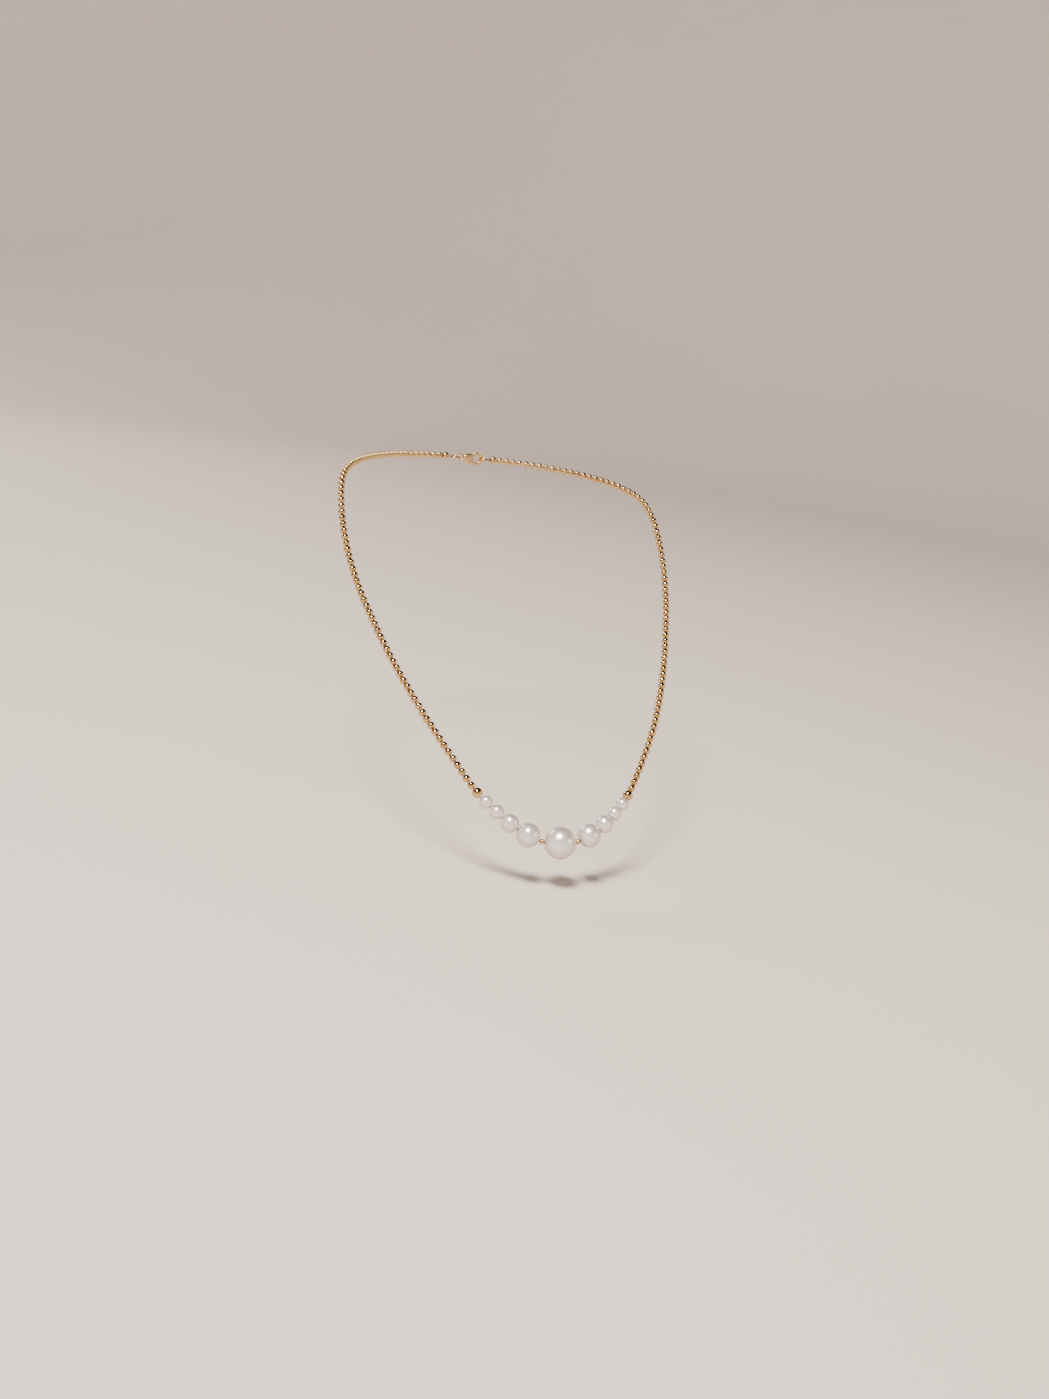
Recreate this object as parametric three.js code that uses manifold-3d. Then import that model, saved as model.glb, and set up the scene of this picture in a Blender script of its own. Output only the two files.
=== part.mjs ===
// Pearl and gold bead necklace, clasped and draped as it is worn, in millimetres.
// +X is to the right of someone who faces the wearer, -Y is the wearer's front, +Z is up.
// The origin is the middle of the back of the neck, where the clasp lies.

import * as THREE from "three";
import { mergeVertices } from "three/addons/utils/BufferGeometryUtils.js";
import Module from "manifold-3d";

const wasm = await Module();
wasm.setup();

// ---------- driving dimensions ----------

const CENTRE_PEARL = 12;
const SIDE_PEARLS = [9, 7, 5.5, 5]; // diameters, from the centre pearl outwards
const SPACER = 2; // gold ball on each side of the centre pearl
const LARGE_BALL = 4; // gold ball that ends the pearl row
const BALL = 3; // gold ball of the rest of the strand
const BALLS_PER_SIDE = 75;

const BORE = 1.0; // hole through every pearl and ball
const WIRE = 0.46; // beading wire
const GAP = 0.034; // between neighbours on one body
const MOVING_GAP = 0.12; // between neighbours that move apart
const BRIDGE = 1.3; // neck that joins the balls of one run
const BALLS_PER_RUN = 6.2; // wanted on average, and rounded to whole balls and whole runs
const WIRE_STEP = 1.7 * BALL; // between the points that the wire bends at

// The balls that the strand bends at when the front is lifted, counted from the pearls.
const UPPER_PIVOT = 36;
const LOWER_PIVOT = 12;

const CRIMP = { outer: 1.8, bore: 1.3, length: 1.5, squash: 0.85 };
const COVER = { outer: 3.4, bore: 2.6, length: 2.9, slit: 0.35, end_hole: 1.9, wall: 0.42 };
const RING = { outer: 5.5, wire: 0.7 };
const LINK_PLAY = 0.08; // between two linked wires
// The loop at each end of the strand, measured between wire middles.
const WIRE_LOOP = { width: 1.5, depth: 0.95, legs: 0.64 };
const CLASP = {
  thick: 2.0,
  eye: 1.35, // radius of the tail eye
  eye_hole: 0.84,
  eye_thick: 1.2,
  claw: 3.0, // outer radius of the claw
  mouth: 1.75, // radius of the hole in the claw
  claw_at: 7.4, // centre of the claw, from the tail eye
  waist: 1.55, // half width of the shank
  pivot: [4.4, -1.0],
  pin: 0.35, // pin radius
  hub: 1.05, // radius of the lever round its pin
  hub_pocket: 1.35, // radius of the room for it in the shank
  play: 0.12, // between the lever's jaw and the body
  pin_play: 0.08,
  jaw_reach: 3.9, // pivot to jaw tip
  lever_thick: 1.0,
  slot: 1.2,
  spring_thick: 0.9,
};

// Outlines of the clasp's parts, as points along and across it from the middle of the tail eye.
const SHANK_OUTLINE = [
  [0.6, -0.9],
  [2.2, -CLASP.waist],
  [5.2, -CLASP.waist * 1.2],
  [6.4, 0],
  [5.6, 2.4],
  [2.2, CLASP.waist],
  [0.6, 0.9],
];
const LEVER_SLOT_OUTLINE = [
  [3.0, -2.6],
  [6.0, -2.6],
  [6.0, 0.5],
  [5.1, 3.2],
  [1.7, 3.2],
  [2.3, 0],
];
const JAW_ROOM_OUTLINE = [
  [5.6, -5],
  [11, -5],
  [11, -0.9],
  [6.2, -0.9],
];
const THUMB_ARM_OUTLINE = [
  [3.9, -1.2],
  [4.9, -1.2],
  [4.55, 1.6],
  [3.95, 3.3],
  [2.75, 3.3],
  [3.55, 1.6],
];
const LEAF_SPRING_OUTLINE = [
  [2.62, 0.1],
  [2.84, 0.1],
  [2.84, 0.9],
  [3.3, 1.75],
  [3.15, 1.85],
  [2.62, 0.95],
];

// ---------- route of the strand ----------

// One half of the centreline, from the centre pearl up over the shoulder to the clasp.
const HALF_ROUTE = [
  [0, -172.2, -116.4],
  [12.3, -168.8, -113.8],
  [21.8, -164.3, -108.1],
  [30.1, -158.2, -101.5],
  [36.3, -151.1, -94],
  [41.9, -143.7, -86.6],
  [47, -136, -79.6],
  [51.4, -127.6, -72.8],
  [55.5, -118.7, -65.9],
  [59.2, -109.5, -58.8],
  [62.5, -100, -51.4],
  [65.5, -90.6, -43.9],
  [67.8, -81.3, -35.9],
  [69.2, -72.2, -27.6],
  [69.6, -63.4, -19.3],
  [69, -54.8, -11.6],
  [66.8, -45.8, -5.7],
  [61.6, -35.3, -2.6],
  [53.3, -24.7, -1],
  [42.1, -14, -0.2],
  [28.1, -4.9, 0],
  [13, 0, 0],
  [0, 0, 0],
];

function closedRoute() {
  const right = HALF_ROUTE.map((p) => new THREE.Vector3(...p));
  const left = right.slice(1, -1).map((p) => new THREE.Vector3(-p.x, p.y, p.z));
  const curve = new THREE.CatmullRomCurve3([...right, ...left.reverse()], true, "catmullrom", 0.5);
  curve.arcLengthDivisions = 4000;
  return curve;
}

const ROUTE = closedRoute();
const ROUTE_LENGTH = ROUTE.getLength();

const at = (s) => ROUTE.getPointAt(s / ROUTE_LENGTH);
const along = (s) => ROUTE.getTangentAt(s / ROUTE_LENGTH);

// The route length at which the straight distance from the point at s reaches step.
function stepAlong(s, step) {
  const from = at(s);
  let low = s;
  let high = s + 1.5 * step;
  for (let i = 0; i < 40; i++) {
    const middle = (low + high) / 2;
    if (at(middle).distanceTo(from) < step) low = middle;
    else high = middle;
  }
  return (low + high) / 2;
}

// The route length at which the right half is x away from the middle plane.
function lengthAtX(x) {
  let low = 0;
  let high = 2 * x;
  for (let i = 0; i < 40; i++) {
    const middle = (low + high) / 2;
    if (at(middle).x < x) low = middle;
    else high = middle;
  }
  return (low + high) / 2;
}

// The beads of the right half in order. Each is a link whose two bore ends lie on the route,
// so that a large pearl sits a little inside the curve and its bore is straight.
function threadBeads() {
  const sizes = [CENTRE_PEARL, SPACER, ...SIDE_PEARLS, LARGE_BALL];
  sizes.push(...Array(BALLS_PER_SIDE).fill(BALL));
  const pivots = [FIRST_BALL + LOWER_PIVOT, FIRST_BALL + UPPER_PIVOT];
  const movesApart = (i) => i < FIRST_BALL || pivots.includes(i);
  const beads = [];
  let from = ROUTE_LENGTH - lengthAtX((CENTRE_PEARL + MOVING_GAP) / 2);
  for (let i = 0; i < sizes.length; i++) {
    const before = movesApart(i) || movesApart(i - 1) ? MOVING_GAP : GAP;
    const after = movesApart(i) || movesApart(i + 1) ? MOVING_GAP : GAP;
    const to = i === 0 ? ROUTE_LENGTH - from : stepAlong(from, sizes[i] + (before + after) / 2);
    const place = at(from).add(at(to)).divideScalar(2);
    const direction = at(to).sub(at(from)).normalize();
    beads.push({ size: sizes[i], s: i === 0 ? 0 : (from + to) / 2, to, place, direction });
    from = to;
  }
  return beads;
}

const FIRST_BALL = 3 + SIDE_PEARLS.length; // after the centre pearl, spacer, pearls and large ball
const BEADS = threadBeads();
const ball = (i) => BEADS[FIRST_BALL + i];
const LARGE = BEADS[FIRST_BALL - 1];

// ---------- materials ----------

const PEARL = new THREE.MeshStandardMaterial({ color: 0xe9e2dc, roughness: 0.22, metalness: 0.0 });
const GOLD = new THREE.MeshStandardMaterial({ color: 0xd9a441, roughness: 0.14, metalness: 1.0 });
const STEEL = new THREE.MeshStandardMaterial({ color: 0xb9b6ae, roughness: 0.35, metalness: 1.0 });

function piece(name, geometry, material) {
  const mesh = new THREE.Mesh(geometry, material);
  mesh.name = name;
  return mesh;
}

// ---------- solids, joins and cuts ----------

function solid(geometry) {
  const bare = geometry.clone();
  bare.deleteAttribute("normal");
  bare.deleteAttribute("uv");
  const merged = mergeVertices(bare, 1e-4);
  const vertProperties = new Float32Array(merged.attributes.position.array);
  const triVerts = new Uint32Array(merged.index.array);
  return new wasm.Manifold(new wasm.Mesh({ numProp: 3, vertProperties, triVerts }));
}

function geometryOf(manifold) {
  const mesh = manifold.getMesh();
  const points = new Float32Array(mesh.vertProperties);
  const geometry = new THREE.BufferGeometry();
  geometry.setAttribute("position", new THREE.BufferAttribute(points, 3));
  geometry.setIndex(new THREE.BufferAttribute(new Uint32Array(mesh.triVerts), 1));
  geometry.computeVertexNormals();
  return geometry;
}

// A closed profile of [radius, height] turned about the Y axis.
function turned(profile, segments) {
  const points = profile.map(([r, y]) => new THREE.Vector2(r, y));
  points.push(points[0].clone());
  return new THREE.LatheGeometry(points, segments);
}

// The same, with its Y axis then laid along a direction and its middle moved to a place.
function turnedAt(profile, segments, place, direction) {
  const turn = new THREE.Quaternion().setFromUnitVectors(new THREE.Vector3(0, 1, 0), direction);
  const geometry = turned(profile, segments).applyQuaternion(turn);
  return geometry.translate(place.x, place.y, place.z);
}

// A flat shape given thickness along Y: its first axis is X, its second Z, and it straddles y = 0.
function plate(shape, thick, curveSegments = 10) {
  const options = { depth: thick, bevelEnabled: false, curveSegments };
  const geometry = new THREE.ExtrudeGeometry(shape, options);
  return geometry.translate(0, 0, -thick / 2).rotateX(Math.PI / 2);
}

function disc(x, z, radius, thick, segments = 20) {
  const shape = new THREE.Shape().absarc(x, z, radius, 0, 2 * Math.PI, false);
  return solid(plate(shape, thick, segments));
}

function polygon(points, thick) {
  return solid(plate(new THREE.Shape(points.map(([x, z]) => new THREE.Vector2(x, z))), thick));
}

// ---------- pearls and balls ----------

// A ball profile from bore edge to bore edge, then back down the bore.
function drilledProfile(radius, rows) {
  const start = Math.acos(BORE / 2 / radius);
  const profile = [];
  for (let i = 0; i <= rows; i++) {
    const angle = -start + (2 * start * i) / rows;
    profile.push([radius * Math.cos(angle), radius * Math.sin(angle)]);
  }
  return profile;
}

function drilledBead(bead) {
  const isPearl = bead.size > LARGE_BALL;
  const rows = isPearl ? 7 : 5;
  const sides = isPearl ? 12 : 9;
  return turnedAt(drilledProfile(bead.size / 2, rows), sides, bead.place, bead.direction);
}

// A run of balls joined by short necks, with one bore, bent along the route.
function ballRun(first, count) {
  const half = BALL / 2;
  const widest = 0.95 * half;
  const flat = 0.42 * half; // half length of the widest band
  const profile = [[BRIDGE / 2, ball(first).s - half]];
  for (let i = first; i < first + count; i++) {
    const s = ball(i).s;
    const next = i + 1 < first + count ? (s + ball(i + 1).s) / 2 : s + half;
    profile.push([widest, s - flat], [widest, s + flat], [BRIDGE / 2, next]);
  }
  for (let i = first + count - 1; i >= first; i -= 2) {
    profile.push([BORE / 2, ball(i).s + (i === first + count - 1 ? half : 0)]);
  }
  profile.push([BORE / 2, ball(first).s - half]);
  return bend(turned(profile, 7));
}

// Moves each vertex from about the Y axis to about the route, Y being length along it.
function bend(geometry) {
  const position = geometry.attributes.position;
  const up = new THREE.Vector3(0, 0, 1);
  for (let i = 0; i < position.count; i++) {
    const s = position.getY(i);
    const tangent = along(s);
    const side = up.clone().cross(tangent).normalize();
    const third = side.clone().cross(tangent);
    const place = at(s).addScaledVector(side, position.getX(i));
    place.addScaledVector(third, position.getZ(i));
    position.setXYZ(i, place.x, place.y, place.z);
  }
  geometry.computeVertexNormals();
  return geometry;
}

// Runs of about six balls that fill a stretch of the strand.
function ballRuns(prefix, first, last) {
  const count = last - first + 1;
  const runs = Math.round(count / BALLS_PER_RUN);
  const meshes = [];
  for (let k = 0; k < runs; k++) {
    const from = first + Math.round((k * count) / runs);
    const to = first + Math.round(((k + 1) * count) / runs);
    meshes.push(piece(`${prefix}_${k + 1}`, ballRun(from, to - from), GOLD));
  }
  return meshes;
}

// ---------- beading wire ----------

// A path that is sampled once at each of its points, so that they set how finely it bends.
class PointedPath extends THREE.CatmullRomCurve3 {
  getUtoTmapping(u) {
    return u;
  }
}

// A round bar along a list of points.
function rod(points, radius, sides = 5) {
  const corners = Array.from({ length: sides }, (_, i) => {
    const angle = (2 * Math.PI * i) / sides;
    return new THREE.Vector2(radius * Math.cos(angle), radius * Math.sin(angle));
  });
  const extrudePath = new PointedPath(points, false, "centripetal");
  const options = { steps: points.length - 1, extrudePath, bevelEnabled: false };
  return new THREE.ExtrudeGeometry(new THREE.Shape(corners), options);
}

function routePoints(from, to, spacing) {
  const count = Math.max(2, Math.round((to - from) / spacing));
  return Array.from({ length: count + 1 }, (_, i) => at(from + ((to - from) * i) / count));
}

function wireBetween(from, to) {
  return rod(routePoints(from, to, WIRE_STEP), WIRE / 2);
}

// The pearls' wire runs straight through each bore and bends between the pearls.
function pearlRowWire() {
  const right = [];
  for (let i = 0; i < FIRST_BALL - 1; i++) {
    const bead = BEADS[i];
    const half = 0.45 * bead.size;
    if (i > 0) {
      right.push(bead.place.clone().addScaledVector(bead.direction, -half), bead.place);
    }
    right.push(bead.place.clone().addScaledVector(bead.direction, half));
  }
  right.push(LARGE.place.clone().addScaledVector(LARGE.direction, -LARGE.size / 2 - MOVING_GAP));
  const left = right.map((p) => new THREE.Vector3(-p.x, p.y, p.z)).reverse();
  return rod([...left, BEADS[0].place, ...right], WIRE / 2);
}

// Where a wire that stops at a pivot ball ends, on the side that stays and on the side that moves.
const INSIDE_BORE = 0.15;
const stays = (bead) => bead.s - bead.size / 2 + INSIDE_BORE;
const moves = (bead) => bead.s - bead.size / 2 - MOVING_GAP;

// ---------- crimp and crimp cover at the end of the strand ----------

const LAST = BEADS[BEADS.length - 1];
const COVER_AT = at(stepAlong(LAST.s, BALL / 2 + MOVING_GAP + COVER.length / 2));

// The wire leaves the last ball, goes through the crimp, round the ring's wire and back into it.
function strandEndWire() {
  const apart = WIRE_LOOP.legs / 2; // each leg's distance from the crimp's middle
  const turns = 8;
  const { x, y } = COVER_AT;
  const inside = 0.3; // from each end of the cover
  const entry = x + COVER.length / 2 - inside;
  const mouth = x - COVER.length / 2 + inside;
  const crimpEnd = 0.6;
  const crimpMiddle = -0.2;
  const points = routePoints(stays(ball(UPPER_PIVOT)), LAST.s, WIRE_STEP);
  points.push(at(LAST.to), new THREE.Vector3(entry, y, 0.8 * apart));
  points.push(new THREE.Vector3(x + crimpEnd, y, apart));
  points.push(new THREE.Vector3(mouth, y, apart));
  for (let i = 0; i <= turns; i++) {
    const angle = (Math.PI * i) / turns;
    const reach = LOOP_TIP_X + WIRE_LOOP.depth * (1 - Math.sin(angle));
    points.push(new THREE.Vector3(reach, 0, (WIRE_LOOP.width / 2) * Math.cos(angle)));
  }
  points.push(new THREE.Vector3(mouth, y, -apart));
  points.push(new THREE.Vector3(x + crimpMiddle, y, -apart));
  points.push(new THREE.Vector3(x + crimpEnd, y, -apart));
  return rod(points, WIRE / 2);
}

function crimpTube() {
  const { outer, bore, length, squash } = CRIMP;
  const profile = [
    [bore / 2, -length / 2],
    [outer / 2, -length / 2],
    [outer / 2, length / 2],
    [bore / 2, length / 2],
  ];
  const geometry = turned(profile, 12).rotateZ(-Math.PI / 2).scale(1, squash, 1);
  return geometry.translate(COVER_AT.x, COVER_AT.y, COVER_AT.z);
}

// A hollow ball with a hole at each end, closed round the crimp so that a slit is left.
function crimpCover() {
  const half = COVER.length / 2;
  const sides = 12;
  const shell = solid(cutBall(COVER.outer / 2, half, sides));
  const hollow = solid(cutBall(COVER.bore / 2, half - COVER.wall, sides));
  const through = 2 * COVER.length; // longer than the ball it cuts
  const hole = new THREE.CylinderGeometry(COVER.end_hole / 2, COVER.end_hole / 2, through, sides);
  const slit = new THREE.BoxGeometry(2, through, COVER.slit).translate(1, 0, 0);
  const cut = shell.subtract(hollow).subtract(solid(hole)).subtract(solid(slit));
  const geometry = geometryOf(cut).rotateZ(-Math.PI / 2);
  return geometry.translate(COVER_AT.x, COVER_AT.y, COVER_AT.z);
}

// A ball with its ends cut off flat, half being half its length.
function cutBall(radius, half, sides) {
  const rows = 4;
  const limit = Math.min(half, radius * 0.98);
  const profile = [[0, -limit]];
  for (let i = 0; i <= rows; i++) {
    const y = limit * Math.sin(Math.PI * (i / rows - 0.5));
    profile.push([Math.sqrt(radius * radius - y * y), y]);
  }
  profile.push([0, limit]);
  return turned(profile, sides);
}

// ---------- rings ----------

// A round wire ring that lies in the XY plane, which the loops and the clasp cross at right angles.
function wireRing(x) {
  const sides = 6;
  const radius = RING.wire / 2;
  const circle = Array.from({ length: sides }, (_, i) => {
    const angle = (2 * Math.PI * i) / sides;
    return [RING.outer / 2 - radius + radius * Math.cos(angle), radius * Math.sin(angle)];
  });
  return turned(circle, 18).rotateX(Math.PI / 2).translate(x, 0, 0);
}

// ---------- lobster clasp ----------

const RING_REACH = RING.outer / 2 - RING.wire / 2;
const LINK = WIRE / 2 + RING.wire / 2 + LINK_PLAY; // between the middles of two linked wires
const TAIL_LINK = 0.28; // from the jump ring's wire to the centre of the clasp's tail eye
const CLAW_LINK = 8.45; // from there to the end ring's wire in the claw

// The linked pieces set how far from the middle the tip of each wire loop is.
const LOOP_TIP_X = 2 * RING_REACH - LINK + (TAIL_LINK + CLAW_LINK) / 2;
const JUMP_RING_X = -LOOP_TIP_X - LINK + RING_REACH;
const END_RING_X = LOOP_TIP_X + LINK - RING_REACH;
const TAIL_X = JUMP_RING_X + RING_REACH + TAIL_LINK;

function clawBand(inner, outer, from, to, thick) {
  const shape = new THREE.Shape();
  shape.absarc(CLASP.claw_at, 0, outer, from, to, false);
  shape.absarc(CLASP.claw_at, 0, inner, to, from, true);
  return solid(plate(shape, thick, 10));
}

function claspBody() {
  const { thick, claw, mouth, claw_at, pivot, play, slot } = CLASP;
  const through = 2 * thick;
  const tail = disc(0, 0, CLASP.eye, CLASP.eye_thick, 14);
  const shank = polygon(SHANK_OUTLINE, thick);
  const cuts = [
    disc(0, 0, CLASP.eye_hole, through, 12),
    disc(claw_at, 0, mouth, through, 16),
    disc(...pivot, CLASP.pin + CLASP.pin_play, through, 10),
    disc(...pivot, CLASP.hub_pocket, slot, 16),
    polygon(LEVER_SLOT_OUTLINE, slot),
    clawBand(mouth - 0.3, claw + 0.5, Math.PI * 1.13, Math.PI * 1.5, through),
    disc(...pivot, CLASP.jaw_reach + play, through, 24).intersect(polygon(JAW_ROOM_OUTLINE, through)),
  ];
  let body = tail.add(shank).add(disc(claw_at, 0, claw, thick, 20));
  for (const cut of cuts) body = body.subtract(cut);
  return geometryOf(body).translate(TAIL_X, 0, 0);
}

function claspLever() {
  const { claw, mouth, pivot, play, lever_thick } = CLASP;
  const band = clawBand(mouth + play, claw - play, Math.PI * 1.14, Math.PI * 1.9, lever_thick);
  const jaw = band.intersect(disc(...pivot, CLASP.jaw_reach, 2 * lever_thick, 24));
  const hub = disc(...pivot, CLASP.hub, lever_thick, 14);
  const arm = polygon(THUMB_ARM_OUTLINE, lever_thick);
  const hole = disc(...pivot, CLASP.pin + CLASP.pin_play, 2 * lever_thick, 10);
  return geometryOf(jaw.add(hub).add(arm).subtract(hole)).translate(TAIL_X, 0, 0);
}

function claspPin() {
  const length = CLASP.thick - 0.1;
  const geometry = new THREE.CylinderGeometry(CLASP.pin, CLASP.pin, length, 10);
  return geometry.translate(TAIL_X + CLASP.pivot[0], 0, CLASP.pivot[1]);
}

// A leaf that presses the lever's arm towards the claw.
function claspSpring() {
  return geometryOf(polygon(LEAF_SPRING_OUTLINE, CLASP.spring_thick)).translate(TAIL_X, 0, 0);
}

// ---------- assembly ----------

function rightHalf(side) {
  const half = new THREE.Group();
  const lowerPivot = ball(LOWER_PIVOT);
  const upperPivot = ball(UPPER_PIVOT);
  half.add(piece(`${side}_spacer_ball`, drilledBead(BEADS[1]), GOLD));
  for (let i = 0; i < SIDE_PEARLS.length; i++) {
    half.add(piece(`${side}_pearl_${i + 1}`, drilledBead(BEADS[2 + i]), PEARL));
  }
  half.add(piece(`${side}_large_ball`, drilledBead(LARGE), GOLD));
  half.add(...ballRuns(`${side}_lower_balls`, 0, LOWER_PIVOT - 1));
  half.add(...ballRuns(`${side}_upper_balls`, LOWER_PIVOT, UPPER_PIVOT - 1));
  half.add(...ballRuns(`${side}_back_balls`, UPPER_PIVOT, BALLS_PER_SIDE - 1));
  half.add(piece(`${side}_lower_wire`, wireBetween(stays(LARGE), moves(lowerPivot)), STEEL));
  half.add(piece(`${side}_upper_wire`, wireBetween(stays(lowerPivot), moves(upperPivot)), STEEL));
  half.add(piece(`${side}_back_wire`, strandEndWire(), STEEL));
  half.add(piece(`${side}_crimp_tube`, crimpTube(), GOLD));
  half.add(piece(`${side}_crimp_cover`, crimpCover(), GOLD));
  return half;
}

function clasp() {
  const group = new THREE.Group();
  group.add(piece("clasp_body", claspBody(), GOLD));
  group.add(piece("clasp_lever", claspLever(), GOLD));
  group.add(piece("clasp_pin", claspPin(), STEEL));
  group.add(piece("clasp_spring", claspSpring(), STEEL));
  group.rotation.x = Math.PI; // it hangs with the heavier side, the thumb tab's, down
  return group;
}

function necklace() {
  const group = new THREE.Group();
  group.add(piece("centre_pearl", drilledBead(BEADS[0]), PEARL));
  group.add(piece("pearl_row_wire", pearlRowWire(), STEEL));
  group.add(rightHalf("right"));
  const left = rightHalf("left");
  left.scale.x = -1;
  group.add(left);
  group.add(piece("jump_ring", wireRing(JUMP_RING_X), GOLD));
  group.add(piece("end_ring", wireRing(END_RING_X), GOLD));
  group.add(clasp());
  return group;
}

export default necklace();
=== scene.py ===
import bisect
import math

import bmesh
import bpy
from mathutils import Matrix, Vector


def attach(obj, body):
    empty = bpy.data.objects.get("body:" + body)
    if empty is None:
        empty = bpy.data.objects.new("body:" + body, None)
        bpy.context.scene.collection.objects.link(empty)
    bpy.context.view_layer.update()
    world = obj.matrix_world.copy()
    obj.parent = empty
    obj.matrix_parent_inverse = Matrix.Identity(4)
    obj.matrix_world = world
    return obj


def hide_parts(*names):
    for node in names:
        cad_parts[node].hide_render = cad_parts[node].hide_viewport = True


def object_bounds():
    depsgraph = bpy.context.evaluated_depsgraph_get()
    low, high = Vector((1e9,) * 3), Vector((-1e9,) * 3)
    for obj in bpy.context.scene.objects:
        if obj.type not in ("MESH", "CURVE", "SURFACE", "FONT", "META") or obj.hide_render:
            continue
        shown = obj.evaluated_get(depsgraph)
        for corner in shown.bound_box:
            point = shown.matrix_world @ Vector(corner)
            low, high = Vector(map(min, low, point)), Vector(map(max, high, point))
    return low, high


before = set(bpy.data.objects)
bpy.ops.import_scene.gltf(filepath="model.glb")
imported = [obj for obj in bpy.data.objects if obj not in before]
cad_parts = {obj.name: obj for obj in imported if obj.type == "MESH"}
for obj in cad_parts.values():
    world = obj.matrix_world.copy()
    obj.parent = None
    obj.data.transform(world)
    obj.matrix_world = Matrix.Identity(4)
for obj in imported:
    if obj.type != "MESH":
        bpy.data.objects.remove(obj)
CAD_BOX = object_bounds()

# ---------- sizes, in metres ----------

MM = 0.001
CENTRE_PEARL = 12 * MM
SIDE_PEARLS = [9 * MM, 7 * MM, 5.5 * MM, 5 * MM]
SPACER = 2 * MM
LARGE_BALL = 4 * MM
BALL = 3 * MM
BALLS_PER_SIDE = 75
UPPER_PIVOT = 36
LOWER_PIVOT = 12
BORE = 1.0 * MM
WIRE = 0.46 * MM
GAP = 0.034 * MM
MOVING_GAP = 0.12 * MM
FIRST_BALL = 3 + len(SIDE_PEARLS)
BALLS_PER_RUN = 6.2  # wanted on average, and rounded to whole balls and whole runs
ROW_WIRE_STOP = 6 * MOVING_GAP  # how far short of each large ball the pearl row's wire ends
CRIMP = {"outer": 1.8 * MM, "bore": 1.3 * MM, "length": 1.5 * MM, "squash": 0.85}
COVER = {"outer": 3.4 * MM, "bore": 2.6 * MM, "length": 2.9 * MM, "slit": 0.35 * MM, "hole": 1.9 * MM}
RING = {"centreline": 2.4 * MM, "wire": 0.7 * MM, "x": 6.765 * MM}
LOOP = {"tip": 8.505 * MM, "swell": 1.67 * MM, "legs": 0.64 * MM}
CLASP_TAIL = -4.085 * MM  # the middle of the clasp's tail eye

# One half of the strand's centreline, from the centre pearl to the clasp.
HALF_ROUTE = [
    (0, -172.2, -116.4), (12.3, -168.8, -113.8), (21.8, -164.3, -108.1), (30.1, -158.2, -101.5),
    (36.3, -151.1, -94), (41.9, -143.7, -86.6), (47, -136, -79.6), (51.4, -127.6, -72.8),
    (55.5, -118.7, -65.9), (59.2, -109.5, -58.8), (62.5, -100, -51.4), (65.5, -90.6, -43.9),
    (67.8, -81.3, -35.9), (69.2, -72.2, -27.6), (69.6, -63.4, -19.3), (69, -54.8, -11.6),
    (66.8, -45.8, -5.7), (61.6, -35.3, -2.6), (53.3, -24.7, -1), (42.1, -14, -0.2),
    (28.1, -4.9, 0), (13, 0, 0), (0, 0, 0),
]
SIDES = {"left": -1, "right": 1}


# ---------- route of the strand ----------

def catmull_rom(before, start, end, after, t):
    """A point on the smooth curve from start to end, t going from 0 to 1."""
    leave = (end - before) / 2
    arrive = (after - start) / 2
    a = 2 * start - 2 * end + leave + arrive
    b = 3 * end - 3 * start - 2 * leave - arrive
    return ((a * t + b) * t + leave) * t + start


class Route:
    """The closed centreline, read by length from the middle of the centre pearl."""

    STEPS = 4000

    def __init__(self):
        right = [Vector(p) * MM for p in HALF_ROUTE]
        left = [Vector((-p.x, p.y, p.z)) for p in reversed(right[1:-1])]
        self.knots = right + left
        self.lengths = [0.0]
        last = self.at_knot(0.0)
        for i in range(1, self.STEPS + 1):
            point = self.at_knot(i / self.STEPS * len(self.knots))
            self.lengths.append(self.lengths[-1] + (point - last).length)
            last = point
        self.length = self.lengths[-1]

    def at_knot(self, t):
        count = len(self.knots)
        i = math.floor(t)
        picked = [self.knots[(i + k) % count] for k in (-1, 0, 1, 2)]
        return catmull_rom(*picked, t - i)

    def at(self, s):
        i = min(bisect.bisect_right(self.lengths, s), self.STEPS) - 1
        share = (s - self.lengths[i]) / (self.lengths[i + 1] - self.lengths[i])
        return self.at_knot((i + share) / self.STEPS * len(self.knots))

    def step(self, s, distance):
        """The route length whose point is a straight distance from the point at s."""
        start, low, high = self.at(s), s, s + 1.5 * distance
        for _ in range(40):
            middle = (low + high) / 2
            if (self.at(middle) - start).length < distance:
                low = middle
            else:
                high = middle
        return (low + high) / 2

    def length_at_x(self, x):
        """The route length at which the right half is x away from the middle plane."""
        low, high = 0.0, 2 * x
        for _ in range(40):
            middle = (low + high) / 2
            if self.at(middle).x < x:
                low = middle
            else:
                high = middle
        return (low + high) / 2


class Bead:
    """One pearl or ball of the right half: its size, its middle and the way its bore runs."""

    def __init__(self, size, start, end, since, to):
        self.size = size
        self.s = (since + to) / 2
        self.place = (start + end) / 2
        self.direction = (end - start).normalized()
        self.exit = end
        self.to = to


def thread_beads(route):
    sizes = [CENTRE_PEARL, SPACER, *SIDE_PEARLS, LARGE_BALL] + [BALL] * BALLS_PER_SIDE

    def gap(i):
        pivots = (FIRST_BALL + UPPER_PIVOT, FIRST_BALL + LOWER_PIVOT)
        moving = any(k < FIRST_BALL or k in pivots for k in (i, i - 1))
        return MOVING_GAP if moving else GAP

    s = route.length_at_x((CENTRE_PEARL + MOVING_GAP) / 2)
    end = route.at(s)
    beads = [Bead(CENTRE_PEARL, Vector((-end.x, end.y, end.z)), end, -s, s)]
    for i, size in enumerate(sizes[1:], 1):
        start, since = end, s
        s = route.step(s, size + (gap(i) + gap(i + 1)) / 2)
        end = route.at(s)
        beads.append(Bead(size, start, end, since, s))
    return beads


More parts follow.
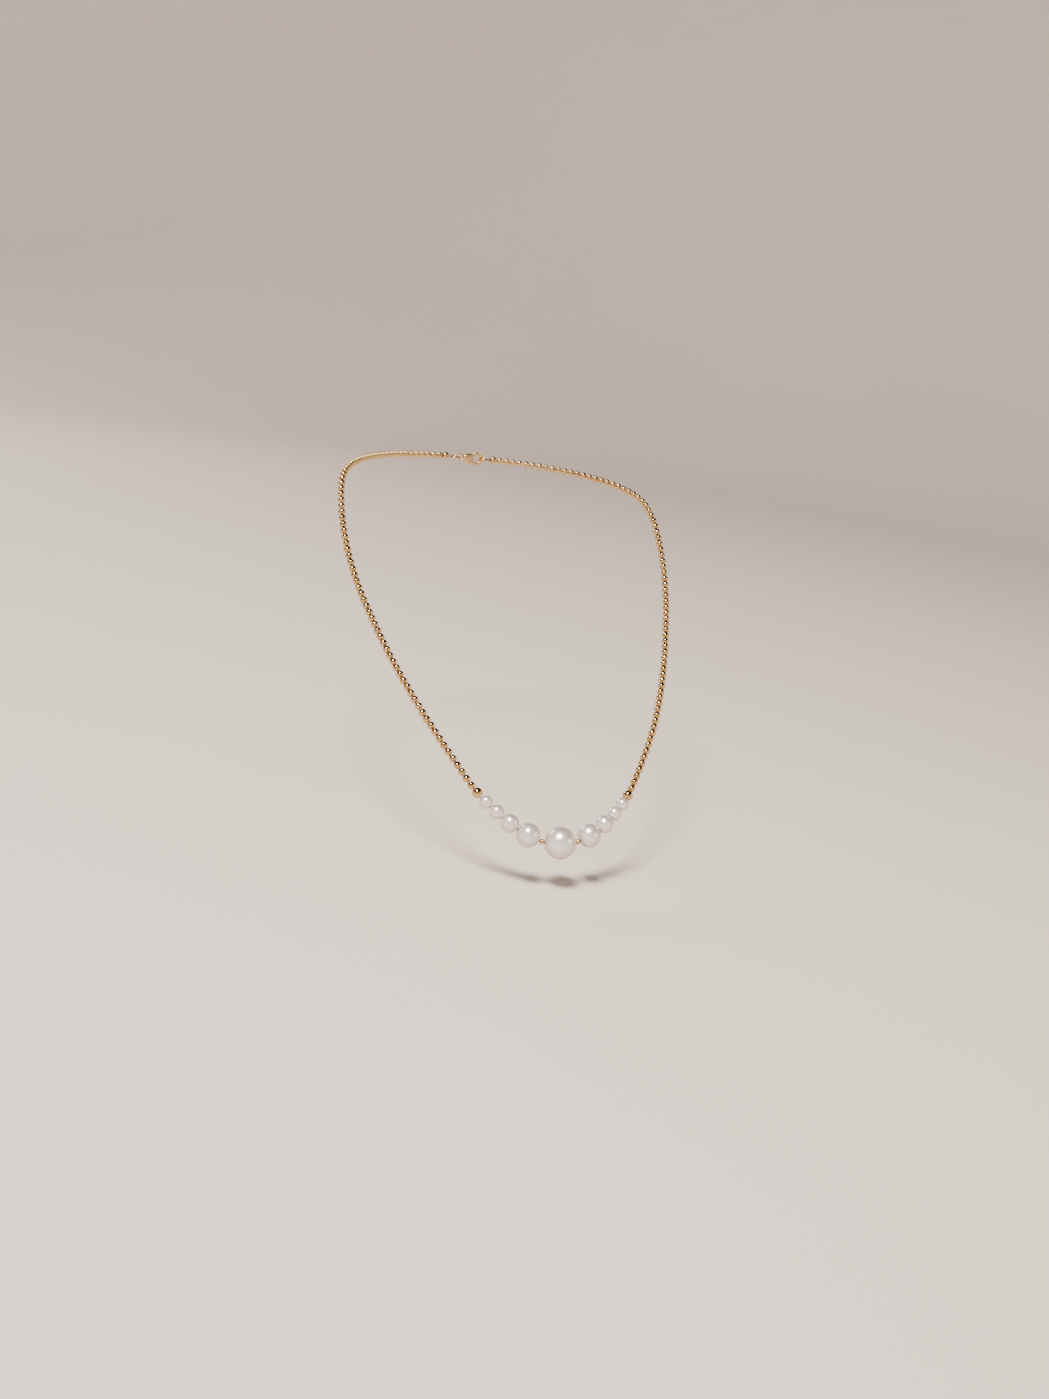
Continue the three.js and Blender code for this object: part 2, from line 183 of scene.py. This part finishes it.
ROUTE = Route()
BEADS = thread_beads(ROUTE)


# ---------- modelling helpers ----------

def add_piece(name, bm, material, body, slot, *nodes, smooth=True):
    """A finished piece from a bmesh: its finish, the body it rides on and the nodes it stands for."""
    mesh = bpy.data.meshes.new(name)
    bm.to_mesh(mesh)
    bm.free()
    mesh.materials.append(material)
    if smooth:
        mesh.shade_smooth()
    obj = bpy.data.objects.new(name, mesh)
    bpy.context.scene.collection.objects.link(obj)
    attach(obj, body)
    if nodes:
        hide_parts(*nodes)
    return obj


def spun(profile, steps, closed=True, angle=2 * math.pi):
    """A profile of (radius, height) turned about Z, its last point joined to its first if closed."""
    bm = bmesh.new()
    verts = [bm.verts.new((radius, 0, height)) for radius, height in profile]
    ends = verts[1:] + verts[:1] if closed else verts[1:]
    edges = [bm.edges.new(pair) for pair in zip(verts, ends)]
    bmesh.ops.spin(
        bm, geom=verts + edges, axis=(0, 0, 1), cent=(0, 0, 0),
        angle=angle, steps=steps, use_merge=angle > 6.28, use_duplicate=False,
    )
    bmesh.ops.remove_doubles(bm, verts=bm.verts, dist=1e-7)
    bmesh.ops.recalc_face_normals(bm, faces=bm.faces)
    return bm


def laid_along(place, direction):
    """The matrix that lays a piece's Z axis along a direction and moves its middle to a place."""
    return Matrix.Translation(place) @ Vector((0, 0, 1)).rotation_difference(direction).to_matrix().to_4x4()


def mirrored(vector, sign):
    return Vector((sign * vector.x, vector.y, vector.z))


def bore_axis(bead, sign):
    """The bore's direction on the side asked for."""
    return Vector((bead.direction.x, sign * bead.direction.y, sign * bead.direction.z))


def drilled_profile(radius, bore, lip, rows):
    """Half the outline of a drilled ball: outer arc, a rounded lip at each hole, and the bore."""
    hole = bore / 2
    start = math.acos((hole + lip) / radius)
    arc = [(-start + 2 * start * i / rows) for i in range(rows + 1)]
    outline = [(radius * math.cos(a), radius * math.sin(a)) for a in arc]
    depth = outline[-1][1]
    rounded = [(hole + 0.3 * lip, depth - 0.12 * lip), (hole, depth - 0.7 * lip)]
    bottom = [(r, -z) for r, z in reversed(rounded)]
    return bottom + outline + rounded


# ---------- materials ----------

def node_group(name, inputs, outputs):
    """An empty shader node group, with its sockets, its inner nodes and its input and output."""
    group = bpy.data.node_groups.new(name, "ShaderNodeTree")
    for title, kind, value in inputs:
        socket = group.interface.new_socket(title, in_out="INPUT", socket_type=kind)
        socket.default_value = value
    for title, kind in outputs:
        group.interface.new_socket(title, in_out="OUTPUT", socket_type=kind)
    return group, group.nodes.new("NodeGroupInput"), group.nodes.new("NodeGroupOutput")


def make_smudges():
    """Handling marks: roughness that drifts between two values in soft patches and fine streaks."""
    group, given, result = node_group(
        "smudges",
        [("Patch size", "NodeSocketFloat", 200.0), ("Clean", "NodeSocketFloat", 0.05),
         ("Smudged", "NodeSocketFloat", 0.15)],
        [("Roughness", "NodeSocketFloat"), ("Mask", "NodeSocketFloat")],
    )
    nodes, links = group.nodes, group.links
    where = nodes.new("ShaderNodeTexCoord")
    patches = nodes.new("ShaderNodeTexNoise")
    patches.inputs["Detail"].default_value = 4.0
    patches.inputs["Roughness"].default_value = 0.62
    links.new(where.outputs["Object"], patches.inputs["Vector"])
    links.new(given.outputs["Patch size"], patches.inputs["Scale"])
    spread = nodes.new("ShaderNodeMapRange")
    spread.interpolation_type = "SMOOTHSTEP"
    spread.inputs["From Min"].default_value = 0.36
    spread.inputs["From Max"].default_value = 0.68
    links.new(patches.outputs["Fac"], spread.inputs["Value"])
    links.new(given.outputs["Clean"], spread.inputs["To Min"])
    links.new(given.outputs["Smudged"], spread.inputs["To Max"])
    links.new(spread.outputs["Result"], result.inputs["Roughness"])
    links.new(patches.outputs["Fac"], result.inputs["Mask"])
    return group


def make_two_tones():
    """A colour that drifts between two close tones over the surface."""
    group, given, result = node_group(
        "two_tones",
        [("Tone", "NodeSocketColor", (1, 1, 1, 1)), ("Second tone", "NodeSocketColor", (1, 1, 1, 1)),
         ("Patch size", "NodeSocketFloat", 150.0)],
        [("Color", "NodeSocketColor")],
    )
    nodes, links = group.nodes, group.links
    where = nodes.new("ShaderNodeTexCoord")
    patches = nodes.new("ShaderNodeTexNoise")
    patches.inputs["Detail"].default_value = 2.0
    links.new(where.outputs["Object"], patches.inputs["Vector"])
    links.new(given.outputs["Patch size"], patches.inputs["Scale"])
    spread = nodes.new("ShaderNodeMapRange")
    spread.inputs["From Min"].default_value = 0.35
    spread.inputs["From Max"].default_value = 0.65
    links.new(patches.outputs["Fac"], spread.inputs["Value"])
    mix = nodes.new("ShaderNodeMix")
    mix.data_type = "RGBA"
    links.new(spread.outputs["Result"], mix.inputs["Factor"])
    links.new(given.outputs["Tone"], mix.inputs["A"])
    links.new(given.outputs["Second tone"], mix.inputs["B"])
    links.new(mix.outputs["Result"], result.inputs["Color"])
    return group


SMUDGES = make_smudges()
TWO_TONES = make_two_tones()


def new_material(name, tone, second_tone, patch_size, clean, smudged, **constants):
    """A Principled material whose colour and roughness drift; constants go on its own sockets."""
    material = bpy.data.materials.new(name)
    material.use_nodes = True
    nodes, links = material.node_tree.nodes, material.node_tree.links
    shader = nodes["Principled BSDF"]
    for socket, value in constants.items():
        shader.inputs[socket.replace("_", " ")].default_value = value
    colour = nodes.new("ShaderNodeGroup")
    colour.node_tree = TWO_TONES
    colour.inputs["Tone"].default_value = (*tone, 1)
    colour.inputs["Second tone"].default_value = (*second_tone, 1)
    colour.inputs["Patch size"].default_value = patch_size
    links.new(colour.outputs["Color"], shader.inputs["Base Color"])
    marks = nodes.new("ShaderNodeGroup")
    marks.node_tree = SMUDGES
    marks.inputs["Patch size"].default_value = 2.3 * patch_size
    marks.inputs["Clean"].default_value = clean
    marks.inputs["Smudged"].default_value = smudged
    links.new(marks.outputs["Roughness"], shader.inputs["Roughness"])
    return material


def add_bump(material, scale, detail, distance, strength):
    """Fine relief from noise on the piece's own coordinates."""
    nodes, links = material.node_tree.nodes, material.node_tree.links
    where = nodes.new("ShaderNodeTexCoord")
    grain = nodes.new("ShaderNodeTexNoise")
    grain.inputs["Scale"].default_value = scale
    grain.inputs["Detail"].default_value = detail
    bump = nodes.new("ShaderNodeBump")
    bump.inputs["Distance"].default_value = distance
    bump.inputs["Strength"].default_value = strength
    links.new(where.outputs["Object"], grain.inputs["Vector"])
    links.new(grain.outputs["Fac"], bump.inputs["Height"])
    links.new(bump.outputs["Normal"], nodes["Principled BSDF"].inputs["Normal"])


def make_nacre():
    """Silver-white face on, under a clear coat. Towards the edge a darker rose band is partly the pearl's
    own rose overtone and partly painted shade with a painted reflection of pink surroundings. The cream rim
    is a painted reflection of bright surroundings.
    """
    material = new_material(
        "nacre", (0.87, 0.84, 0.82), (0.87, 0.82, 0.80), 70.0, 0.30, 0.34,
        Metallic=0.6, IOR=1.6, Coat_Weight=0.7, Coat_Roughness=0.18, Coat_IOR=1.5,
    )
    nodes, links = material.node_tree.nodes, material.node_tree.links
    shader = nodes["Principled BSDF"]
    face_on = shader.inputs["Base Color"].links[0].from_socket
    rim = nodes.new("ShaderNodeLayerWeight")
    rim.inputs["Blend"].default_value = 0.5
    # Ramp by facing. The darker rose band is part real rose overtone, part painted shade and painted pink
    # reflection. The cream rim stop is a painted reflection of bright surroundings.
    overtone_and_painted_reflection = nodes.new("ShaderNodeValToRGB")
    stops = overtone_and_painted_reflection.color_ramp.elements
    stops[0].position, stops[0].color = 0.10, (1.0, 1.0, 1.0, 1)
    stops[1].position, stops[1].color = 0.88, (1.0, 0.97, 0.93, 1)
    for position, colour in ((0.42, (0.80, 0.71, 0.71, 1)), (0.66, (0.78, 0.66, 0.655, 1))):
        stops.new(position).color = colour
    mix = nodes.new("ShaderNodeMix")
    mix.data_type, mix.blend_type = "RGBA", "MULTIPLY"
    mix.inputs["Factor"].default_value = 1.0
    links.new(rim.outputs["Facing"], overtone_and_painted_reflection.inputs["Fac"])
    links.new(face_on, mix.inputs["A"])
    links.new(overtone_and_painted_reflection.outputs["Color"], mix.inputs["B"])
    links.new(mix.outputs["Result"], shader.inputs["Base Color"])
    add_bump(material, 500.0, 1.0, 0.00001, 0.06)
    return material


def make_polished_gold():
    # Both gold tones are deeper than bright gold. The extra darkness is painted shade standing in for dark
    # surroundings reflected in the polished metal. The drift between the two tones is random.
    material = new_material(
        "polished_gold", (0.61, 0.405, 0.18), (0.56, 0.36, 0.155), 160.0, 0.08, 0.14,
        Metallic=1.0, IOR=1.45,
    )
    add_bump(material, 2600.0, 3.0, 0.000004, 0.2)
    return material


def make_beading_wire():
    return new_material(
        "coated_wire", (0.62, 0.57, 0.48), (0.50, 0.45, 0.37), 900.0, 0.22, 0.38,
        Metallic=0.9, Coat_Weight=0.5, Coat_Roughness=0.15,
    )


def make_spring_steel():
    material = new_material(
        "spring_steel", (0.60, 0.58, 0.55), (0.52, 0.50, 0.47), 700.0, 0.24, 0.36, Metallic=1.0,
    )
    add_bump(material, 5000.0, 2.0, 0.000004, 0.3)
    return material


NACRE = make_nacre()
GOLD = make_polished_gold()
WIRE_FINISH = make_beading_wire()
STEEL = make_spring_steel()


# ---------- pearls and single balls ----------

def drilled_ball(size, lip, rows, steps):
    return spun(drilled_profile(size / 2, BORE, lip, rows), steps)


def add_pearls():
    centre = drilled_ball(CENTRE_PEARL, 0.12 * MM, 44, 80)
    centre.transform(laid_along(BEADS[0].place, BEADS[0].direction))
    add_piece("drilled_centre_pearl", centre, NACRE, "centre_pearl", "pearl", "centre_pearl")
    for side, sign in SIDES.items():
        for rank, size in enumerate(SIDE_PEARLS, 1):
            bead = BEADS[1 + rank]
            pearl = drilled_ball(size, 0.12 * MM, 36, 64)
            pearl.transform(laid_along(mirrored(bead.place, sign), bore_axis(bead, sign)))
            node = f"{side}_pearl_{rank}"
            add_piece(f"drilled_{node}", pearl, NACRE, node, "pearl", node)


def add_single_gold_balls():
    for side, sign in SIDES.items():
        for node, bead in ((f"{side}_spacer_ball", BEADS[1]), (f"{side}_large_ball", BEADS[FIRST_BALL - 1])):
            ball = drilled_ball(bead.size, 0.08 * MM, 22, 40)
            ball.transform(laid_along(mirrored(bead.place, sign), bore_axis(bead, sign)))
            add_piece(f"turned_{node}", ball, GOLD, node, "polished_gold", node)


# ---------- runs of gold balls ----------

def run_ends(first, last):
    """The same split into runs as the frame's nodes: about six balls in each."""
    count = last - first + 1
    runs = round(count / BALLS_PER_RUN)
    cuts = [first + math.floor(k * count / runs + 0.5) for k in range(runs + 1)]
    return list(zip(cuts, cuts[1:]))


def add_ball_runs():
    single = drilled_ball(BALL, 0.1 * MM, 14, 24)
    stock = bpy.data.meshes.new("one_ball")
    single.to_mesh(stock)
    single.free()
    stretches = {
        "lower": (0, LOWER_PIVOT - 1, "lower_front"),
        "upper": (LOWER_PIVOT, UPPER_PIVOT - 1, "upper_front"),
        "back": (UPPER_PIVOT, BALLS_PER_SIDE - 1, "neck_run"),
    }
    for side, sign in SIDES.items():
        for stretch, (first, last, body) in stretches.items():
            for k, (start, stop) in enumerate(run_ends(first, last), 1):
                run = bmesh.new()
                for bead in BEADS[FIRST_BALL + start:FIRST_BALL + stop]:
                    before = len(run.verts)
                    run.from_mesh(stock)
                    run.verts.ensure_lookup_table()
                    place = laid_along(mirrored(bead.place, sign), bore_axis(bead, sign))
                    bmesh.ops.transform(run, matrix=place, verts=run.verts[before:])
                node = f"{side}_{stretch}_balls_{k}"
                add_piece(f"threaded_{node}", run, GOLD, body, "polished_gold", node)
    bpy.data.meshes.remove(stock)


# ---------- beading wire ----------

def smooth_path(points, steps):
    """More points along an open line, on a smooth curve through the ones given."""
    ends = [2 * points[0] - points[1], *points, 2 * points[-1] - points[-2]]
    path = []
    for four in zip(ends, ends[1:], ends[2:], ends[3:]):
        path += [catmull_rom(*four, i / steps) for i in range(steps)]
    return path + [points[-1]]


def add_wire(name, points, body, node):
    curve = bpy.data.curves.new(name, "CURVE")
    curve.dimensions = "3D"
    curve.bevel_depth = WIRE / 2
    curve.bevel_resolution = 3
    curve.use_fill_caps = True
    spline = curve.splines.new("POLY")
    spline.points.add(len(points) - 1)
    for knot, point in zip(spline.points, points):
        knot.co = (*point, 1)
    curve.materials.append(WIRE_FINISH)
    obj = bpy.data.objects.new(name, curve)
    bpy.context.scene.collection.objects.link(obj)
    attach(obj, body)
    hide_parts(node)


def route_points(start, end, spacing):
    count = round((end - start) / spacing)
    return [ROUTE.at(start + (end - start) * i / count) for i in range(count + 1)]


def stays(bead):
    """Where a wire that stops at a hinge ball ends, on the side that stays."""
    return bead.s - bead.size / 2 + 0.15 * MM


def moves(bead):
    """The same on the side that moves."""
    return bead.s - bead.size / 2 - MOVING_GAP


def pearl_row_points():
    right = []
    for i, bead in enumerate(BEADS[:FIRST_BALL - 1]):
        half = 0.45 * bead.size * bead.direction
        right += [bead.place + half] if i == 0 else [bead.place - half, bead.place, bead.place + half]
    large = BEADS[FIRST_BALL - 1]
    right.append(large.place - (large.size / 2 + ROW_WIRE_STOP) * large.direction)
    left = [mirrored(point, -1) for point in reversed(right)]
    return left + [BEADS[0].place] + right


def cover_place():
    last = BEADS[-1]
    return ROUTE.at(ROUTE.step(last.s, BALL / 2 + MOVING_GAP + COVER["length"] / 2))


def strand_end_points():
    """From the strand through the crimp, round the ring's wire and back into the crimp."""
    middle = cover_place()
    apart = LOOP["legs"] / 2
    inside = 0.3 * MM
    mouth = -COVER["length"] / 2 + inside
    points = [BEADS[-1].exit]
    for x, z in ((-mouth, 0.8 * apart), (0.6 * MM, apart), (mouth, apart)):
        points.append(Vector((middle.x + x, middle.y, z)))
    depth = middle.x + mouth - LOOP["tip"]
    for i in range(-6, 7):
        along = -i / 7
        swell = LOOP["swell"] * along * (1 - along * along) + apart * along * abs(along)
        points.append(Vector((LOOP["tip"] + depth * along * along, 0, swell)))
    for x in (mouth, -0.2 * MM, 0.6 * MM):
        points.append(Vector((middle.x + x, middle.y, -apart)))
    return points


def add_wires():
    add_wire("wire_pearl_row", smooth_path(pearl_row_points(), 5), "pearl_row", "pearl_row_wire")
    large = BEADS[FIRST_BALL - 1]
    low = BEADS[FIRST_BALL + LOWER_PIVOT]
    high = BEADS[FIRST_BALL + UPPER_PIVOT]
    spacing = 1.2 * MM
    lower = route_points(stays(large), moves(low), spacing)
    upper = route_points(stays(low), moves(high), spacing)
    back = route_points(stays(high), BEADS[-1].s, spacing) + smooth_path(strand_end_points(), 5)
    for side, sign in SIDES.items():
        for stretch, body, points in (
            ("lower", "lower_front", lower), ("upper", "upper_front", upper), ("back", "neck_run", back),
        ):
            node = f"{side}_{stretch}_wire"
            add_wire(f"wire_{side}_{stretch}", [mirrored(p, sign) for p in points], body, node)


# ---------- crimps and crimp covers ----------

def facing_neck(place, sign):
    """Lays a turned piece's Z axis along the strand's end and its X axis towards the neck."""
    return Matrix((
        (0, 0, sign, place.x),
        (-1, 0, 0, place.y),
        (0, -sign, 0, place.z),
        (0, 0, 0, 1),
    ))


def fill_ends(bm, rounding, segments=2):
    """Closes the open ends of a shape spun less than a full turn, and rounds their edges."""
    rims = [edge for edge in bm.edges if edge.is_boundary]
    bmesh.ops.holes_fill(bm, edges=rims, sides=0)
    bmesh.ops.bevel(
        bm, geom=rims, offset=rounding, segments=segments, profile=0.5, affect="EDGES", material=-1,
    )
    bmesh.ops.recalc_face_normals(bm, faces=bm.faces)


def add_crimp_tubes():
    """A short tube pressed flat round the two wires, with the fold that the pliers leave."""
    outer, bore, half = CRIMP["outer"] / 2, CRIMP["bore"] / 2, CRIMP["length"] / 2
    lip = 0.06 * MM
    rows = [half * k / 4 for k in range(-3, 4)]
    outside = [(outer - lip, -half), (outer, -half + lip), *[(outer, z) for z in rows]]
    outside += [(outer, half - lip), (outer - lip, half)]
    inside = [(bore, half), *[(bore, z) for z in reversed(rows)], (bore, -half)]
    for side, sign in SIDES.items():
        bm = spun(outside + inside, 40)
        for vert in bm.verts:
            vert.co.x *= CRIMP["squash"]
            fold = math.exp(-((vert.co.y / (0.28 * MM)) ** 2) - (vert.co.z / (0.5 * MM)) ** 2)
            vert.co.x -= 0.07 * MM * fold * math.copysign(1, vert.co.x)
        bm.transform(facing_neck(mirrored(cover_place(), sign), sign))
        node = f"{side}_crimp_tube"
        add_piece(f"pressed_{node}", bm, GOLD, "neck_run", "polished_gold", node)


def add_crimp_covers():
    """A hollow ball closed round the crimp, its seam towards the neck."""
    outer, inner, hole = COVER["outer"] / 2, COVER["bore"] / 2, COVER["hole"] / 2
    lip = 0.08 * MM
    wide, narrow = math.acos((hole + lip) / outer), math.acos(hole / inner)
    rows = 16
    shell = [wide * (2 * i / rows - 1) for i in range(rows + 1)]
    hollow = [narrow * (1 - 2 * i / rows) for i in range(rows + 1)]
    outside = [(outer * math.cos(a), outer * math.sin(a)) for a in shell]
    edge = outside[-1][1]
    inside = [(inner * math.cos(a), inner * math.sin(a)) for a in hollow]
    profile = [(hole, -edge + lip), *outside, (hole, edge - lip), *inside]
    slit = COVER["slit"] / outer
    for side, sign in SIDES.items():
        bm = spun(profile, 48, angle=2 * math.pi - slit)
        bm.transform(Matrix.Rotation(slit / 2, 4, "Z"))
        fill_ends(bm, 0.05 * MM)
        bm.transform(facing_neck(mirrored(cover_place(), sign), sign))
        node = f"{side}_crimp_cover"
        add_piece(f"folded_{node}", bm, GOLD, "neck_run", "polished_gold", node)


# ---------- rings ----------

def ring_section():
    sides = 24
    radius = RING["wire"] / 2
    turn = 2 * math.pi / sides
    return [
        (RING["centreline"] + radius * math.cos(turn * i), radius * math.sin(turn * i))
        for i in range(sides)
    ]


def add_rings():
    """The jump ring is bent wire with a cut that faces up the neck; the end ring is soldered shut."""
    cut = 0.09 * MM / RING["centreline"]
    jump = spun(ring_section(), 96, angle=2 * math.pi - cut)
    fill_ends(jump, 0.03 * MM)
    jump.transform(Matrix.Translation((-RING["x"], 0, 0)) @ Matrix.Rotation(math.radians(100), 4, "Z"))
    add_piece("bent_jump_ring", jump, GOLD, "jump_ring", "polished_gold", "jump_ring")
    end = spun(ring_section(), 96)
    end.transform(Matrix.Translation((RING["x"], 0, 0)))
    add_piece("soldered_end_ring", end, GOLD, "end_ring", "polished_gold", "end_ring")


# ---------- lobster clasp ----------

# Its outlines are points along and across it, in millimetres from the middle of its tail eye.
CLAW = (7.4, 0)
PIVOT = (4.4, -1.0)


def arc(centre, radius, start, stop, steps):
    """Points round a centre, between two angles in degrees."""
    angles = [math.radians(start + (stop - start) * i / steps) for i in range(steps + 1)]
    return [(centre[0] + radius * math.cos(a), centre[1] + radius * math.sin(a)) for a in angles]


def eased(points, steps=4):
    """A closed outline made smooth."""
    knots = [Vector((x, z, 0)) for x, z in points]
    count = len(knots)
    out = []
    for i in range(count):
        four = [knots[(i + k) % count] for k in (-1, 0, 1, 2)]
        out += [catmull_rom(*four, j / steps)[:2] for j in range(steps)]
    return out


def plate(outline, near, far, rounding, rims=("near", "far"), segments=4):
    """An outline given thickness from near to far across the clasp, with rounded rims."""
    bm = bmesh.new()
    face = bm.faces.new([bm.verts.new((x, near, z)) for x, z in outline])
    grown = bmesh.ops.extrude_face_region(bm, geom=[face])["geom"]
    tops = [v for v in grown if isinstance(v, bmesh.types.BMVert)]
    bmesh.ops.translate(bm, verts=tops, vec=(0, far - near, 0))
    levels = [{"near": near, "far": far}[rim] for rim in rims]
    edges = [
        edge for edge in bm.edges
        if any(all(abs(v.co.y - level) < 1e-5 for v in edge.verts) for level in levels)
    ]
    bmesh.ops.bevel(
        bm, geom=edges, offset=rounding, segments=segments, profile=0.5, affect="EDGES", material=-1,
    )
    bmesh.ops.recalc_face_normals(bm, faces=bm.faces)
    return bm


def merged(*parts):
    """Several bmeshes as one."""
    whole = bmesh.new()
    for part in parts:
        mesh = bpy.data.meshes.new("part")
        part.to_mesh(mesh)
        part.free()
        whole.from_mesh(mesh)
        bpy.data.meshes.remove(mesh)
    return whole


def add_clasp_piece(name, bm, material, body, slot, node):
    """Scales millimetres to metres and turns the clasp over, so that its thumb tab hangs down."""
    turn = Matrix.Rotation(math.pi, 4, "X")
    bm.transform(Matrix.Translation((CLASP_TAIL, 0, 0)) @ turn @ Matrix.Scale(MM, 4))
    obj = add_piece(name, bm, material, body, slot, node)
    obj.data.set_sharp_from_angle(angle=math.radians(38))


def hook_outline():
    """The fixed claw, from beside the thumb tab round to its tip."""
    outer = arc(CLAW, 3.0, 128, -48, 18)
    tip = arc((8.93, -1.82), 0.625, -75, -205, 4)
    inner = arc(CLAW, 1.75, -46, 152, 18)
    return [*outer, *tip, *inner]


def cheek_outline():
    """The side of the body: shank and fixed claw in one."""
    shank = [
        (5.83, -0.72), (5.68, -1.3), (5.15, -1.72), (4.4, -1.84), (3.3, -1.75), (2.2, -1.5),
        (1.35, -1.05), (0.95, -0.55), (0.95, 0.5), (1.4, 1.0), (2.2, 1.5), (3.8, 1.98), (5.0, 2.32),
    ]
    return eased([*hook_outline(), *arc(CLAW, 1.75, 165, 198, 2), *shank], 2)


def tail_eye():
    """A ring at the end of the body, drawn in towards the shank."""
    sides = 20
    middle, reach, half = 1.095, 0.255, 0.6
    turn = 2 * math.pi / sides
    section = [(middle + reach * math.cos(turn * i), half * math.sin(turn * i)) for i in range(sides)]
    bm = spun(section, 40)
    bm.transform(Matrix.Rotation(math.pi / 2, 4, "X"))
    return bm


def add_clasp_body():
    core = [(0.95, 0.6), (1.5, 1.1), (1.95, 1.35), (2.3, 0), (2.68, -1.6), (2.2, -1.45), (0.95, -0.6)]
    body = merged(
        tail_eye(),
        plate(cheek_outline(), -1.0, -0.6, 0.32, rims=("near",)),
        plate(cheek_outline(), 0.6, 1.0, 0.32, rims=("far",)),
        plate(core, -0.62, 0.62, 0.02, segments=1),
        plate(eased(hook_outline(), 2), -0.62, 0.62, 0.02, segments=1),
    )
    add_clasp_piece("cast_clasp_body", body, GOLD, "clasp", "polished_gold", "clasp_body")


def add_clasp_lever():
    outline = [
        (2.85, 3.22), (3.4, 3.28), (3.92, 3.1), (4.2, 2.5), (4.5, 1.4), (4.85, 0.2), (5.3, -0.5),
        *arc(CLAW, 1.87, 207, 282, 8), (8.02, -1.95), (8.12, -2.2), (7.95, -2.6),
        *arc(CLAW, 2.88, 276, 214, 8), (4.5, -2.03), (3.75, -1.8), (3.38, -1.2),
        (3.42, -0.4), (3.6, 0.7), (3.5, 1.7), (3.05, 2.5), (2.78, 2.95),
    ]
    lever = plate(eased(outline, 2), -0.5, 0.5, 0.2)
    add_clasp_piece("cast_clasp_lever", lever, GOLD, "clasp_lever", "polished_gold", "clasp_lever")


def add_clasp_pin():
    radius, half, dome = 0.35, 0.95, 0.06
    profile = [(0, -half), (radius - 0.1, -half + 0.02), (radius, -half + dome)]
    profile += [(radius, half - dome), (radius - 0.1, half - 0.02), (0, half)]
    pin = spun(profile, 28, closed=False)
    pin.transform(Matrix.Translation((PIVOT[0], 0, PIVOT[1])) @ Matrix.Rotation(math.pi / 2, 4, "X"))
    add_clasp_piece("riveted_clasp_pin", pin, STEEL, "clasp", "spring_steel", "clasp_pin")


def add_clasp_spring():
    leaf = [(2.62, 0.1), (2.84, 0.1), (2.84, 0.9), (3.3, 1.75), (3.15, 1.85), (2.62, 0.95)]
    spring = plate(leaf, -0.45, 0.45, 0.03, segments=2)
    add_clasp_piece("leaf_clasp_spring", spring, STEEL, "clasp", "spring_steel", "clasp_spring")


# ---------- studio ----------

def add_sweep():
    """A round pale floor that curves up into a low wall, so every view has the same backdrop."""
    floor = CAD_BOX[0][2] - 0.012
    radius, rise, height = 1.1, 0.5, 0.9
    profile = [(0, floor), (0.3, floor), (radius, floor)]
    for i in range(1, 13):
        angle = math.pi / 2 * i / 12
        profile.append((radius + rise * math.sin(angle), floor + rise * (1 - math.cos(angle))))
    profile.append((radius + rise, floor + height))
    bm = spun(profile, 96, closed=False)
    bmesh.ops.reverse_faces(bm, faces=bm.faces)
    mesh = bpy.data.meshes.new("studio_sweep")
    bm.to_mesh(mesh)
    bm.free()
    mesh.shade_smooth()
    paper = new_material("pale_paper", (0.68, 0.59, 0.535), (0.67, 0.58, 0.525), 3.0, 0.75, 0.85)
    mesh.materials.append(paper)
    sweep = bpy.data.objects.new("studio_sweep", mesh)
    bpy.context.scene.collection.objects.link(sweep)


def add_light(name, place, target, size, watts, colour):
    light = bpy.data.lights.new(name, "AREA")
    light.shape = "DISK"
    light.size = size
    light.energy = watts
    light.color = colour
    obj = bpy.data.objects.new(name, light)
    obj.location = place
    obj.rotation_euler = (Vector(target) - Vector(place)).to_track_quat("-Z", "Y").to_euler()
    bpy.context.scene.collection.objects.link(obj)


def add_lights():
    middle = (0, -0.10, -0.08)
    add_light("key", (-0.42, -0.55, 1.15), middle, 0.42, 46, (1.0, 0.95, 0.87))
    add_light("fill", (1.05, -0.75, 0.35), middle, 0.5, 2.5, (0.96, 0.97, 1.0))
    add_light("rim", (-0.5, 1.0, 0.55), middle, 0.5, 7, (1.0, 0.96, 0.92))
    world = bpy.data.worlds.new("dim_room")
    world.use_nodes = True
    world.node_tree.nodes["Background"].inputs["Color"].default_value = (0.30, 0.27, 0.25, 1)
    world.node_tree.nodes["Background"].inputs["Strength"].default_value = 0.12
    bpy.context.scene.world = world


def add_camera():
    azimuth, elevation, roll = math.radians(-20.65), math.radians(15.64), math.radians(8.12)
    distance = 0.5557
    aim_right, aim_up = -0.0118, 0.0541  # where the lens points, from beside the centre pearl
    right = Vector((math.cos(azimuth), math.sin(azimuth), 0))
    ahead = Vector((
        -math.sin(azimuth) * math.cos(elevation),
        math.cos(azimuth) * math.cos(elevation),
        -math.sin(elevation),
    ))
    up = right.cross(ahead)
    rolled_right = math.cos(roll) * right + math.sin(roll) * up
    rolled_up = math.cos(roll) * up - math.sin(roll) * right
    aim = Vector((0, -0.168, -0.118)) + aim_right * rolled_right + aim_up * rolled_up
    lens = bpy.data.cameras.new("camera")
    lens.lens = 38.6
    lens.sensor_width = 36
    lens.clip_start = 0.01
    camera = bpy.data.objects.new("camera", lens)
    turn = Matrix((rolled_right, rolled_up, -ahead)).transposed().to_4x4()
    camera.matrix_world = Matrix.Translation(aim - distance * ahead) @ turn
    bpy.context.scene.collection.objects.link(camera)
    bpy.context.scene.camera = camera


add_camera()
add_lights()
add_sweep()
add_pearls()
add_single_gold_balls()
add_ball_runs()
add_wires()
add_crimp_tubes()
add_crimp_covers()
add_rings()
add_clasp_body()
add_clasp_lever()
add_clasp_pin()
add_clasp_spring()
